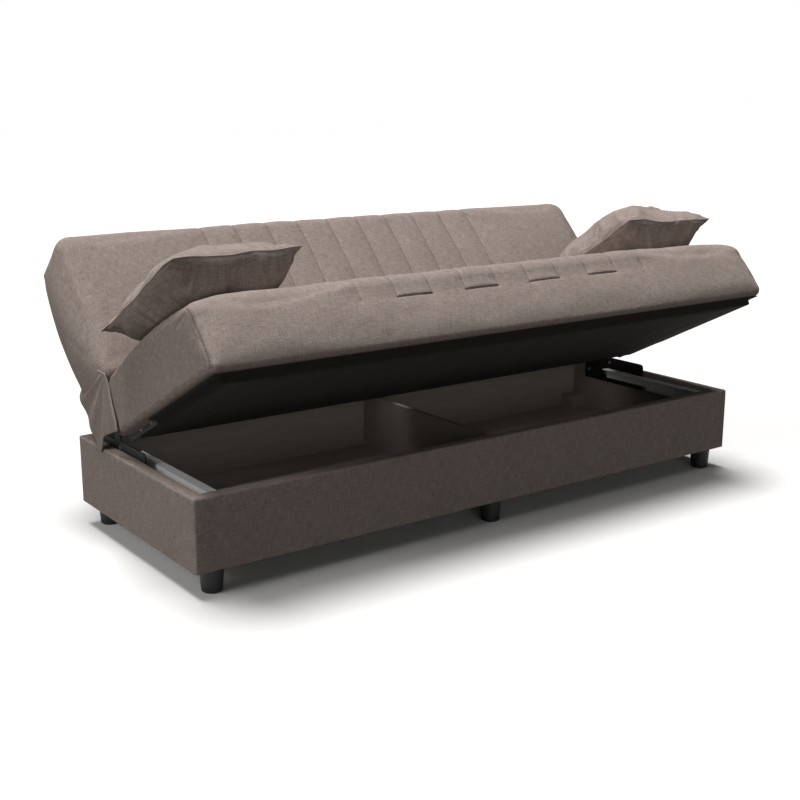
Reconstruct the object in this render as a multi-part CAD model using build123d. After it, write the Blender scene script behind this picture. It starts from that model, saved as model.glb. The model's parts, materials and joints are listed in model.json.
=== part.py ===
from build123d import *
import os

# Storage sofa bed with its box open. Millimetres: x runs to the right, y back from the base's front
# face and z up from the floor. The seat and the backrest turn about one hinge axis along x.

# Base box
base_width = 1900
base_depth = 700
base_height = 190
cover_thick = 2
board_thick = 30
floor_thick = 12
floor_lift = 3
divider_thick = 16
divider_drop = 8
ledger_wide = 30
ledger_tall = 32
ledger_long = 258
ledger_drop = 18
rail_flange = 26
rail_leg = 32
rail_thick = 2
rail_drop = 6
rail_long = 440
block_side = 60
block_tall = 46

# Feet
foot_height = 67
foot_top_radius = 31
foot_radius = 27
foot_round = 6
foot_inset_x = 62
foot_inset_y = 42
bolt_radius = 3
bolt_in_foot = 38
bolt_in_wood = 44

# Hinge: one pin each side carries the bracket, the back arm and the seat arm in three layers
hinge_back = 503
hinge_over_base = 157
plate_thick = 4
plate_gap = 0.5
pin_radius = 6
pin_fit = 0.05
pin_head_radius = 11
pin_head_thick = 3
boss_radius = 18
bracket_front = 170
bracket_rear = 104
bracket_wing = 70
bracket_foot = 62
bracket_rise = 26
bracket_wing_rise = 23
bracket_tip_rise = 9
plate_corner = 12
rivet_front = 16
rivet_rise = 9
arm_strip = 28
arm_edge = 4
arm_clear = 6
seat_arm_long = 260
back_arm_long = 250
screw_radius = 2.5
screw_head_radius = 5.5
screw_head_thick = 2
screw_long = 18
screw_inset = 20
screw_spread = 75
arm_screw_count = 3

# Seat, drawn level about the hinge axis and opened by seat_open
seat_open = 26.5
seat_top = 35
seat_rise = 42
seat_shoulder = 180
seat_crown = 12
seat_thick = 160
seat_depth = 613
seat_gap = 21
seat_front_lean = 28
seat_front_round = 42
seat_rear_round = 35
seat_foot_round = 20
seat_bulge = 3
seat_end_round = 16
frame_drop = 18
frame_tall = 45
frame_wide = 45
frame_front_inset = 36
frame_rear_inset = 41
deck_thick = 12
lining_thick = 1.5

# Backrest, drawn lying flat about the hinge axis and raised by back_rise
back_rise = 48.5
back_overhang = 1
back_top = 35
back_crown = 9
back_thick = 165
back_tall = 484
back_gap = 21
back_crest_lean = 8
back_low_round = 35
back_crest_round = 38
back_corner = 58
back_end_round = 16
back_cover_thick = 5
back_cover_bulge = 22
back_lining_strip = 15
back_rail_tall = 40
back_rail_wide = 35
back_low_inset = 41
back_crest_inset = 45

# Sewing: upright seams at one pitch divide both cushions into channels
seam_count = 10
seam_pitch = 110
seam_dip = 6
tuck_deep = 7
tuck_high = 2.5
tuck_below_crown = 72
end_steps = (0, 0.5, 0.85, 1)
shoulder_steps = (0, 0.35, 0.65, 0.85)
corner_steps = (0, 0.3, 0.55, 0.75, 0.9)
puff_steps = 4

# End flaps of cloth hanging over the hinges: height from the axis, front edge, rear edge, fold depth
flap_thick = 2
flap_levels = ((62, 8, 46, 0.5), (20, -30, 112, 1.5), (-30, -62, 146, 3), (-74, -88, 100, 5),
               (-100, -14, 92, 6), (-125, 16, 84, 6), (-170, 50, 62, 2))

# Throw pillows: distance of the centre from the seat's end and front, then pitch, roll and yaw in degrees
pillow_half = 168
pillow_under = 82
pillow_over = 86
pillow_draw = 16
pillow_corner = 30
pillow_steps = ((0, 1.0), (0.4, 0.9), (0.8, 0.68), (1.0, 0.4))
pillow_places = {"left": (179, 272, -6.5, -3.4, 7.7), "right": (195, 298, -6.5, 3.4, 4)}

# Room round what lies in a pocket, and how far a cut runs past the face that it opens
clear = 0.4
overcut = 1

base_low = foot_height
base_top = foot_height + base_height
panel_top = base_top - cover_thick
half_base = base_width / 2
half_outer = half_base - cover_thick
half_inner = half_outer - board_thick
front_inner = cover_thick + board_thick
rear_inner = base_depth - front_inner
floor_top = base_low + floor_lift + floor_thick
hinge_z = base_top + hinge_over_base
half_seat = half_base
seat_bottom = seat_top - seat_thick
crown_top = seat_top + seat_rise
seat_rear = -seat_gap
seat_front = seat_rear - seat_depth
frame_bottom = seat_bottom - frame_drop
frame_front = seat_front + frame_front_inset
frame_rear = seat_rear - frame_rear_inset
half_back = half_base + back_overhang
back_rear = back_top - back_thick
back_low = back_gap
back_crest = back_low + back_tall
back_frame_low = back_low + back_low_inset
back_frame_high = back_crest - back_crest_inset
back_cover_low = back_frame_low + back_lining_strip
bracket_inner = half_inner - plate_thick
back_arm_outer = bracket_inner - plate_gap
back_arm_inner = back_arm_outer - plate_thick
seat_arm_outer = back_arm_inner - plate_gap
seat_arm_inner = seat_arm_outer - plate_thick
pocket_half = back_arm_outer + screw_head_thick + clear
seams = [(i - (seam_count - 1) / 2) * seam_pitch for i in range(seam_count)]
sides = {"left": -1, "right": 1}

hinge_place = Pos(0, hinge_back, hinge_z)
seat_place = hinge_place * Rot(-seat_open, 0, 0)
back_place = hinge_place * Rot(back_rise, 0, 0)
nodes = {}


def block(x0, x1, y0, y1, z0, z1):
    lo = (min(x0, x1), min(y0, y1), min(z0, z1))
    return Pos(*lo) * Box(abs(x1 - x0), abs(y1 - y0), abs(z1 - z0), align=(Align.MIN,) * 3)


def plate(outline, eased, x0, x1):
    face = make_face(Polyline(*[(0, y, z) for y, z in outline], close=True))
    corners = [v for v in face.vertices() for y, z in eased if abs(v.Y - y) + abs(v.Z - z) < clear]
    face = fillet(corners, plate_corner)
    return Pos(min(x0, x1), 0, 0) * extrude(face, amount=abs(x1 - x0), dir=(1, 0, 0))


def rod(x0, x1, y, z, radius):
    place = Pos((x0 + x1) / 2, y, z) * Rot(0, 90, 0)
    return place * Cylinder(radius, abs(x1 - x0))


def rounding(start, corner, end):
    reach = 2 - 2 ** 0.5
    middle = [(p + q) / 2 for p, q in zip(start, end)]
    return tuple(c + reach * (m - c) for c, m in zip(corner, middle))


def bowed(start, end, bulge_y, bulge_z):
    return ((start[0] + end[0]) / 2 + bulge_y, (start[1] + end[1]) / 2 + bulge_z)


def cut_from(names, tools):
    for name in names:
        for tool in tools:
            nodes[name] = nodes[name] - tool


def group(pieces):
    return Compound([piece.solid() for piece in pieces])


def section(x, corners):
    # A closed face at x from points (y, z); a pair of points is an arc's middle and end
    at = [(x, *corners[0])]
    edges = []
    for step in corners[1:]:
        if isinstance(step[0], tuple):
            middle, end = [(x, *p) for p in step]
            edges.append(ThreePointArc(at[-1], middle, end))
        else:
            end = (x, *step)
            edges.append(Line(at[-1], end))
        at.append(end)
    edges.append(Line(at[-1], at[0]))
    return make_face(edges)


# Base: four boards, a cloth cover round them, the floor, the divider and what the seat's weight rests on
outer = block(-half_base, half_base, 0, base_depth, base_low, base_top)
hollow = block(-half_outer, half_outer, cover_thick, base_depth - cover_thick, base_low, panel_top)
mouth = block(-half_inner, half_inner, front_inner, rear_inner, base_low, base_top)
nodes["base_cover"] = outer - hollow - mouth
nodes["front_panel"] = block(-half_outer, half_outer, cover_thick, front_inner, base_low, panel_top)
nodes["rear_panel"] = block(-half_outer, half_outer, rear_inner, base_depth - cover_thick,
                            base_low, panel_top)
nodes["storage_floor"] = block(-half_inner, half_inner, front_inner, rear_inner,
                               base_low + floor_lift, floor_top)
nodes["centre_divider"] = block(-divider_thick / 2, divider_thick / 2, front_inner, rear_inner,
                                floor_top, base_top - divider_drop)
ledger_top = base_top - ledger_drop
rail_top = base_top - rail_drop
ledger_inner = half_inner - ledger_wide
for side, sign in sides.items():
    nodes[f"{side}_panel"] = block(sign * half_inner, sign * half_outer, front_inner, rear_inner,
                                   base_low, panel_top)
    nodes[f"ledger_{side}"] = block(sign * ledger_inner, sign * half_inner, front_inner,
                                    front_inner + ledger_long, ledger_top - ledger_tall, ledger_top)
    flange = block(sign * ledger_inner, sign * (ledger_inner - rail_flange), front_inner,
                   front_inner + rail_long, rail_top - rail_thick, rail_top)
    leg = block(sign * ledger_inner, sign * (ledger_inner - rail_thick), front_inner,
                front_inner + rail_long, rail_top - rail_leg, rail_top)
    nodes[f"rail_{side}"] = flange + leg

# Feet with a threaded rod up through the floor into a block or the divider
sole_edge = (foot_radius - foot_round, 0)
wall_edge = (foot_radius, foot_round)
profile = section(0, [(0, 0), sole_edge, (rounding(sole_edge, (foot_radius, 0), wall_edge), wall_edge),
                      (foot_top_radius, foot_height), (0, foot_height)])
foot = revolve(profile, Axis.Z)
foot_x = {"left": -(half_base - foot_inset_x), "centre": 0, "right": half_base - foot_inset_x}
foot_y = {"front": foot_inset_y, "rear": base_depth - foot_inset_y}
bolt_long = bolt_in_foot + floor_lift + floor_thick + bolt_in_wood
upward = (Align.CENTER, Align.CENTER, Align.MIN)
bolts = []
bolt_holes = []
for row, y in foot_y.items():
    for column, x in foot_x.items():
        seat_of_bolt = Pos(x, y, foot_height - bolt_in_foot)
        hole = seat_of_bolt * Cylinder(bolt_radius + pin_fit, bolt_long, align=upward)
        nodes[f"foot_{row}_{column}"] = Pos(x, y, 0) * foot - hole
        bolts.append(seat_of_bolt * Cylinder(bolt_radius, bolt_long, align=upward))
        bolt_holes.append(hole)
        if column != "centre":
            inner = half_inner - block_side
            wall = front_inner if row == "front" else rear_inner - block_side
            sign = sides[column]
            nodes[f"block_{row}_{column}"] = block(sign * inner, sign * half_inner, wall, wall + block_side,
                                                   floor_top, floor_top + block_tall)
bored = [name for name in nodes if name.startswith("block_")] + ["storage_floor", "centre_divider"]
cut_from(bored, bolt_holes)
nodes["foot_bolts"] = group(bolts)

# Hinges: bracket on the side board, back arm and seat arm on the same pin
foot_line = -hinge_over_base - bracket_foot
front_line = bracket_rise - hinge_over_base
wing_line = bracket_wing_rise - hinge_over_base
tip_line = bracket_tip_rise - hinge_over_base
bracket_ease = [(-bracket_front, front_line), (bracket_rear, tip_line), (bracket_wing, wing_line)]
bracket_shape = [(-boss_radius, 0), (-boss_radius, front_line), (-bracket_front, front_line),
                 (-bracket_front, foot_line), (bracket_rear, foot_line), (bracket_rear, tip_line),
                 (bracket_wing, wing_line), (boss_radius, wing_line), (boss_radius, 0)]
strip_low = frame_bottom + arm_edge
strip_high = strip_low + arm_strip
riser_front = seat_rear + arm_clear
seat_arm_ease = [(-seat_arm_long, strip_high), (-seat_arm_long, strip_low), (0, strip_low)]
seat_arm_shape = [(-boss_radius, 0), (riser_front, strip_high), (-seat_arm_long, strip_high),
                  (-seat_arm_long, strip_low), (0, strip_low), (boss_radius, 0)]
back_strip_low = back_rear + arm_edge
back_strip_high = back_strip_low + arm_strip
back_arm_ease = [(back_arm_long, back_strip_low), (back_arm_long, back_strip_high), (0, back_strip_low)]
back_arm_shape = [(-boss_radius, 0), (0, back_strip_low), (back_arm_long, back_strip_low),
                  (back_arm_long, back_strip_high), (back_low - arm_clear, back_strip_high),
                  (boss_radius, 0)]


def pivot_plate(shape, eased, x0, x1, hole):
    return plate(shape, eased, x0, x1) + rod(x0, x1, 0, 0, boss_radius) - rod(x0, x1, 0, 0, hole)


def screw(face_x, y, z, outward):
    # The head stands on the plate's face and the shank runs the other way, into the wood
    head = rod(face_x, face_x + outward * screw_head_thick, y, z, screw_head_radius)
    return head + rod(face_x, face_x - outward * screw_long, y, z, screw_radius)


bracket_screws = []
bracket_rivets = []
seat_screws = []
back_screws = []
for side, sign in sides.items():
    bore = pin_radius + pin_fit
    bracket = pivot_plate(bracket_shape, bracket_ease, sign * bracket_inner, sign * half_inner, pin_radius)
    seat_arm = pivot_plate(seat_arm_shape, seat_arm_ease, sign * seat_arm_inner, sign * seat_arm_outer, bore)
    back_arm = pivot_plate(back_arm_shape, back_arm_ease, sign * back_arm_inner, sign * back_arm_outer, bore)
    pin_inner = seat_arm_inner - plate_gap
    pin = rod(sign * pin_inner, sign * half_inner, 0, 0, pin_radius)
    pin += rod(sign * pin_inner, sign * (pin_inner - pin_head_thick), 0, 0, pin_head_radius)
    pin += rod(sign * half_inner, sign * (half_inner + pin_head_thick), 0, 0, pin_head_radius)
    at = (-rivet_front, rivet_rise - hinge_over_base)
    rivet = rod(sign * bracket_inner, sign * half_inner, *at, screw_radius)
    rivet += rod(sign * bracket_inner, sign * (bracket_inner - screw_head_thick), *at, screw_head_radius)
    rivet += rod(sign * half_inner, sign * (half_inner + screw_head_thick), *at, screw_head_radius)
    fixings = [screw(sign * bracket_inner, y, foot_line + bracket_foot / 2, -sign)
               for y in (-bracket_front + screw_inset, -screw_spread, 0, bracket_rear - screw_inset)]
    along = [screw_inset + i * screw_spread for i in range(arm_screw_count)]
    seat_fixings = [screw(sign * seat_arm_outer, y - seat_arm_long, (strip_low + strip_high) / 2, sign)
                    for y in along]
    back_fixings = [screw(sign * back_arm_outer, back_arm_long - y, (back_strip_low + back_strip_high) / 2,
                          sign) for y in along]
    nodes[f"hinge_bracket_{side}"] = hinge_place * bracket
    nodes[f"hinge_pin_{side}"] = hinge_place * pin
    nodes[f"seat_arm_{side}"] = seat_place * seat_arm
    nodes[f"back_arm_{side}"] = back_place * back_arm
    bracket_rivets.append(hinge_place * rivet)
    bracket_screws += [hinge_place * one for one in fixings]
    seat_screws += [seat_place * one for one in seat_fixings]
    back_screws += [back_place * one for one in back_fixings]


cut_from(["left_panel", "right_panel", "hinge_bracket_left", "hinge_bracket_right"], bracket_screws)
cut_from(["hinge_bracket_left", "hinge_bracket_right"], bracket_rivets)
nodes["bracket_screws"] = group(bracket_screws)
nodes["bracket_rivets"] = group(bracket_rivets)


# Seat and back frames: four rails and a board each, in the cushion's pocket
def frame(prefix, place, half, y_low, y_high, wide, z_low, z_high):
    lower, upper = ("front", "rear") if prefix == "seat" else ("bottom", "top")
    nodes[f"{prefix}_{lower}_rail"] = place * block(-half, half, y_low, y_low + wide, z_low, z_high)
    nodes[f"{prefix}_{upper}_rail"] = place * block(-half, half, y_high - wide, y_high, z_low, z_high)
    for side, sign in sides.items():
        rail = block(sign * (half - wide), sign * half, y_low + wide, y_high - wide, z_low, z_high)
        nodes[f"{prefix}_{side}_rail"] = place * rail
    nodes[f"{prefix}_deck"] = place * block(-half, half, y_low, y_high, z_high, z_high + deck_thick)


frame_top = frame_bottom + frame_tall
frame("seat", seat_place, seat_arm_inner, frame_front, frame_rear, frame_wide, frame_bottom, frame_top)
lining = block(-seat_arm_inner, seat_arm_inner, frame_front, frame_rear,
               frame_bottom - lining_thick, frame_bottom)
nodes["seat_lining"] = seat_place * lining
back_frame_top = back_rear + back_rail_tall
frame("back", back_place, back_arm_inner, back_frame_low, back_frame_high, back_rail_wide, back_rear,
      back_frame_top)
cut_from(["seat_left_rail", "seat_right_rail", "seat_rear_rail", "seat_arm_left", "seat_arm_right"],
         seat_screws)
cut_from(["back_left_rail", "back_right_rail", "back_bottom_rail", "back_arm_left", "back_arm_right"],
         back_screws)
nodes["seat_arm_screws"] = group(seat_screws)
nodes["back_arm_screws"] = group(back_screws)


# Cushions: sections along x, puffed between the seams and rounded off at the ends
def stations(half, end_round):
    inner = [a + seam_pitch * i / puff_steps for a in seams[:-1] for i in range(puff_steps)]
    half_pitch = seam_pitch / 2
    outer = [seams[-1], seams[-1] + half_pitch / 2, seams[-1] + half_pitch]
    outer += [half - end_round * (1 - t) for t in end_steps]
    return [-x for x in reversed(outer)] + inner[1:] + outer


def seam_depth(x):
    half_pitch = seam_pitch / 2
    to_seam = min(abs(x - seam) for seam in seams)
    return seam_dip * max(0, 1 - to_seam / half_pitch) ** 2


def round_off(x, half, radius):
    over = max(0, abs(x) - half + radius)
    return radius - (radius ** 2 - over ** 2) ** 0.5


def seat_section(x):
    end = round_off(x, half_seat, seat_end_round)
    dip = seam_depth(x)
    top = seat_top - dip - end
    shoulder = round_off(x, half_seat, seat_shoulder) / seat_shoulder
    crown = top + seat_rise * (1 - shoulder)
    front_top = seat_front + seat_front_lean + dip + end
    front_low = seat_front + end
    rear = seat_rear - end
    low = seat_bottom + end
    foot_back = (front_low + seat_foot_round, low)
    foot_up = (front_low, low + seat_foot_round)
    face_top = (front_top, crown - seat_front_round)
    top_front = (front_top + seat_front_round, crown)
    top_rear = (rear - seat_rear_round, top)
    rear_top = (rear, top - seat_rear_round)
    return section(x, [
        (rear, low),
        foot_back,
        (rounding(foot_back, (front_low, low), foot_up), foot_up),
        (bowed(foot_up, face_top, -seat_bulge, 0), face_top),
        (rounding(face_top, (front_top, crown), top_front), top_front),
        (bowed(top_front, top_rear, 0, seat_crown), top_rear),
        (rounding(top_rear, (rear, top), rear_top), rear_top),
    ])


shoulder_stations = [half_seat - seat_shoulder * (1 - t) for t in shoulder_steps]
seat_stations = sorted(set(stations(half_seat, seat_end_round) + shoulder_stations
                           + [-x for x in shoulder_stations]))
pad = loft([seat_section(x) for x in seat_stations], ruled=True)
pocket_top = frame_top + deck_thick
pad -= block(-pocket_half, pocket_half, frame_front - clear, frame_rear + clear,
             seat_bottom - overcut, pocket_top)
for sign in sides.values():
    pad -= block(sign * (seat_arm_inner - clear), sign * pocket_half, frame_rear, seat_rear + overcut,
                 seat_bottom - overcut, strip_high + clear)
tuck_top = crown_top - tuck_below_crown
face_low = seat_bottom + seat_foot_round
face_share = (tuck_top - face_low) / (crown_top - seat_front_round - face_low)
for low, high in zip(seams[1::2], seams[2::2]):
    pad -= block(low, high, seat_front - seat_bulge, seat_front + seat_front_lean * face_share + tuck_deep,
                 tuck_top - tuck_high, tuck_top)
nodes["seat_cushion"] = seat_place * pad


def back_section(x):
    end = round_off(x, half_back, back_end_round)
    corner = round_off(x, half_back, back_corner)
    dip = seam_depth(x)
    top = back_top - dip - end
    crest = back_crest - corner - dip
    low_front = (back_low, top - back_low_round)
    front_low = (back_low + back_low_round, top)
    front_crest = (crest - back_crest_round, top)
    crest_front = (crest, top - back_crest_round)
    return section(x, [
        (back_low, back_rear),
        low_front,
        (rounding(low_front, (back_low, top), front_low), front_low),
        (bowed(front_low, front_crest, 0, back_crown), front_crest),
        (rounding(front_crest, (crest, top), crest_front), crest_front),
        (crest - back_crest_lean, back_rear),
    ])


corner_stations = [half_back - back_corner * (1 - t) for t in corner_steps]
back_stations = sorted(set(stations(half_back, back_end_round) + corner_stations
                           + [-x for x in corner_stations]))
pad = loft([back_section(x) for x in back_stations], ruled=True)
pocket_top = back_frame_top + deck_thick
pad -= block(-pocket_half, pocket_half, back_frame_low - clear, back_frame_high + clear,
             back_rear - overcut, pocket_top)
for sign in sides.values():
    pad -= block(sign * (back_arm_inner - clear), sign * pocket_half, back_low - overcut, back_frame_low,
                 back_rear - overcut, back_strip_high + clear)
nodes["back_cushion"] = back_place * pad

# Cloth over the back of the backrest, bulged, with a dark strip below it
def cover_section(x):
    corner = round_off(x, half_back, back_corner)
    crest = back_crest - back_crest_lean - corner
    flat = back_rear - back_cover_thick
    low = (back_cover_low, flat)
    high = (crest, flat)
    return section(x, [(back_cover_low, back_rear), low, (bowed(low, high, 0, -back_cover_bulge), high),
                       (crest, back_rear)])


cover_ends = [half_back] + corner_stations
cover_stations = sorted(set(cover_ends + [-x for x in cover_ends]))
nodes["back_cover"] = back_place * loft([cover_section(x) for x in cover_stations], ruled=True)
nodes["back_lining"] = back_place * block(-half_back, half_back, back_frame_low + clear, back_cover_low,
                                          back_rear - lining_thick, back_rear)

# End flaps: cloth sewn to the backrest's ends, hanging over the hinges in two folds
def flap_section(height, front, rear, fold):
    inner = half_back
    outer = inner + flap_thick
    crease = (front + rear) / 2

    def at(x, y):
        return (x, y, height)

    return make_face([
        ThreePointArc(at(outer, front), at(outer + fold, (front + crease) / 2), at(outer, crease)),
        ThreePointArc(at(outer, crease), at(outer + fold, (crease + rear) / 2), at(outer, rear)),
        Line(at(outer, rear), at(inner, rear)),
        ThreePointArc(at(inner, rear), at(inner + fold, (crease + rear) / 2), at(inner, crease)),
        ThreePointArc(at(inner, crease), at(inner + fold, (front + crease) / 2), at(inner, front)),
        Line(at(inner, front), at(outer, front)),
    ])


flap = loft([flap_section(*level) for level in flap_levels], ruled=True)
nodes["flap_right"] = hinge_place * flap
nodes["flap_left"] = hinge_place * flap.mirror(Plane.YZ)


# Pillows: two puffed halves meeting at a seam, sides drawn in
def pillow_outline(height, size):
    half = pillow_half * size
    near = half - pillow_corner * size
    draw = half - pillow_draw * size
    edges = []
    for turn in range(4):
        side_arc = ThreePointArc((-near, -half, height), (0, -draw, height), (near, -half, height))
        bend = rounding((near, -half), (half, -half), (half, -near))
        corner_arc = ThreePointArc((near, -half, height), (*bend, height), (half, -near, height))
        edges += [Rot(0, 0, 90 * turn) * side_arc, Rot(0, 0, 90 * turn) * corner_arc]
    return make_face(edges)


pillow = loft([pillow_outline(pillow_over * t, size) for t, size in pillow_steps])
pillow += loft([pillow_outline(-pillow_under * t, size) for t, size in pillow_steps])
sole = pillow.faces().sort_by(Axis.Z)[0]
touching = [edge @ part for edge in sole.edges() for part in (0, 0.5)]
top_start = seat_front + seat_front_lean + seat_front_round
top_long = seat_rear - seat_rear_round - top_start


def seat_height(x, y):
    share = (y - top_start) / top_long
    shoulder = round_off(x, half_seat, seat_shoulder) / seat_shoulder
    rise = seat_rise * (1 - shoulder) * (1 - share)
    return seat_top + rise + 4 * seat_crown * share * (1 - share)


for side, (from_end, from_front, pitch, roll, yaw) in pillow_places.items():
    x = sides[side] * (half_seat - from_end)
    y = seat_front + from_front
    turn = Rot(0, 0, yaw) * Rot(pitch, 0, 0) * Rot(0, roll, 0)
    under = [(turn * Pos(point)).position for point in touching]
    z = max(seat_height(x + point.X, y + point.Y) - point.Z for point in under) + clear
    nodes[f"pillow_{side}"] = seat_place * Pos(x, y, z) * turn * pillow

# The origin is under the middle of the whole sofa
whole = Compound([solid for node in nodes.values() for solid in node.solids()]).bounding_box()
centre = Pos(0, -(whole.min.Y + whole.max.Y) / 2, 0)
os.makedirs("parts", exist_ok=True)
for name, node in nodes.items():
    export_step(centre * node, f"parts/{name}.step")
print("size", whole.size)
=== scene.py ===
import json
import math

import bpy
import numpy as np
from mathutils import Euler, Matrix, Vector, noise
from mathutils.bvhtree import BVHTree


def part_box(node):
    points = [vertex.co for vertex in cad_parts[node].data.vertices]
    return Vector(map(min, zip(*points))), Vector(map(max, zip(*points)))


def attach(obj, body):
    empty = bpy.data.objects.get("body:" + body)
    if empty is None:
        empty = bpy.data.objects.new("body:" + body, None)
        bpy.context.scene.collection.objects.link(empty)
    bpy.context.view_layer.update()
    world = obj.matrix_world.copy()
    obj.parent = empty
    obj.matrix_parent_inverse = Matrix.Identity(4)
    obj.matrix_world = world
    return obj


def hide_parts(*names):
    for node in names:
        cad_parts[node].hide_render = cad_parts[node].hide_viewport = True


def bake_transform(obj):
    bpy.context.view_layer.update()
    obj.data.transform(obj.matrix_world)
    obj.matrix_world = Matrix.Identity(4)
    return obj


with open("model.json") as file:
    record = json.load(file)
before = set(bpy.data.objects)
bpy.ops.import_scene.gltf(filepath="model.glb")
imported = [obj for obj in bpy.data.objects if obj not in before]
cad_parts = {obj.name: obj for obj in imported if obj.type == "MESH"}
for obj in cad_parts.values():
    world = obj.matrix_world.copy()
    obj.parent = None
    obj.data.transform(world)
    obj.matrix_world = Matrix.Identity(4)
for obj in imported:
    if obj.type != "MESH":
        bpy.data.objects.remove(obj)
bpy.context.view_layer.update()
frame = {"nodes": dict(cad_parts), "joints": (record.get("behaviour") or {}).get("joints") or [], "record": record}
joints = {joint["name"]: joint for joint in frame["joints"]}
hinge = Vector(joints["seat_lift"]["pos_m"])
seatTilt = math.radians(joints["seat_lift"]["range_deg"][0])          # the open seat, turned from level
backTilt = math.radians(joints["backrest_recline"]["range_deg"][1])   # the backrest, raised from flat
mm = 0.001
print("frame loaded")


def deselectAll():
    if bpy.context.object and bpy.context.object.mode != "OBJECT":
        bpy.ops.object.mode_set(mode="OBJECT")
    bpy.ops.object.select_all(action="DESELECT")


def getPoints(piece):
    flat = np.empty(len(piece.data.vertices) * 3)
    piece.data.vertices.foreach_get("co", flat)
    return flat.reshape(-1, 3)


def setPoints(piece, points):
    piece.data.vertices.foreach_set("co", np.asarray(points, np.float32).ravel())
    piece.data.update()


def toWorld(points, tilt):
    # x, along and up, measured with the cushion level about the hinge axis
    x, along, up = np.asarray(points, float).T
    cos, sin = math.cos(tilt), math.sin(tilt)
    return np.stack([x, hinge.y + along * cos - up * sin, hinge.z + along * sin + up * cos], 1)


def toLevel(points, tilt):
    x, y, z = np.asarray(points, float).T
    cos, sin = math.cos(tilt), math.sin(tilt)
    y, z = y - hinge.y, z - hinge.z
    return np.stack([x, y * cos + z * sin, z * cos - y * sin], 1)


def levelBox(node, tilt):
    points = toLevel(getPoints(frame["nodes"][node]), tilt)
    return points.min(0), points.max(0)


def bumpy(points, size, height, seed):
    # smooth uneven swelling, the same on every run
    offset = Vector((seed * 7.3, seed * 3.1, seed * 5.7))
    return height * np.array([noise.noise(Vector(p) / size + offset) for p in points])


def pushOut(piece, push):
    # each point moved along its normal
    normals = np.array([v.normal for v in piece.data.vertices])
    return getPoints(piece) + normals * push[:, None]


def sewUp(near):
    # joins the points of the object in hand that lie this near, and turns its faces outwards
    bpy.ops.object.mode_set(mode="EDIT")
    bpy.ops.mesh.select_all(action="SELECT")
    bpy.ops.mesh.remove_doubles(threshold=near)
    bpy.ops.mesh.normals_make_consistent(inside=False)
    bpy.ops.object.mode_set(mode="OBJECT")
    bpy.ops.object.shade_smooth()


def finishPiece(piece, name, body, slot, material, *nodes):
    piece.name = name
    piece.data.name = name
    piece.data.materials.clear()
    piece.data.materials.append(material)
    if nodes:
        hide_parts(*nodes)
    if body:
        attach(piece, body)


# materials

def hexColour(code):
    parts = [int(code[i:i + 2], 16) / 255 for i in (0, 2, 4)]
    return tuple(c / 12.92 if c <= 0.04045 else ((c + 0.055) / 1.055) ** 2.4 for c in parts) + (1,)


def addNode(tree, kind, values=None, links=None, **settings):
    node = tree.nodes.new(kind)
    for key, value in settings.items():
        setattr(node, key, value)
    for socket, value in (values or {}).items():
        node.inputs[socket].default_value = value
    for socket, source in (links or {}).items():
        tree.links.new(source, node.inputs[socket])
    return node


def newMaterial(name):
    material = bpy.data.materials.new(name)
    material.use_nodes = True
    material.node_tree.nodes.clear()
    return material, material.node_tree


def closeMaterial(tree, colour, rough, bump=None, **sockets):
    shader = addNode(tree, "ShaderNodeBsdfPrincipled")
    for key, value in (("Base Color", colour), ("Roughness", rough)):
        if isinstance(value, bpy.types.NodeSocket):
            tree.links.new(value, shader.inputs[key])
        else:
            shader.inputs[key].default_value = value
    for key, value in sockets.items():
        shader.inputs[key.replace("_", " ")].default_value = value
    if bump:
        tree.links.new(bump.outputs["Normal"], shader.inputs["Normal"])
    addNode(tree, "ShaderNodeOutputMaterial", links={"Surface": shader.outputs["BSDF"]})


linenCloth = {
    # sewn: colour of the painted shade in the bottom of the seams, tuck slits and corner darts, with their thread
    "light": "AEA099", "mid": "968982", "dark": "7B6F68", "sewn": "544A45",
    "thread": 2.2,      # mm: the real thread is about 1 mm, drawn coarser so that it shows
    "slub": 30.0,       # mm: length of a thick place in a thread
    "patch": 120.0,     # mm: slow change of shade over the cloth
    "patchShare": 0.16, "shades": (0.72, 1.44),         # how much of it, and the range from dark to light
    "relief": 0.3,      # mm
    "rough": (0.82, 0.95),
}


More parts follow.
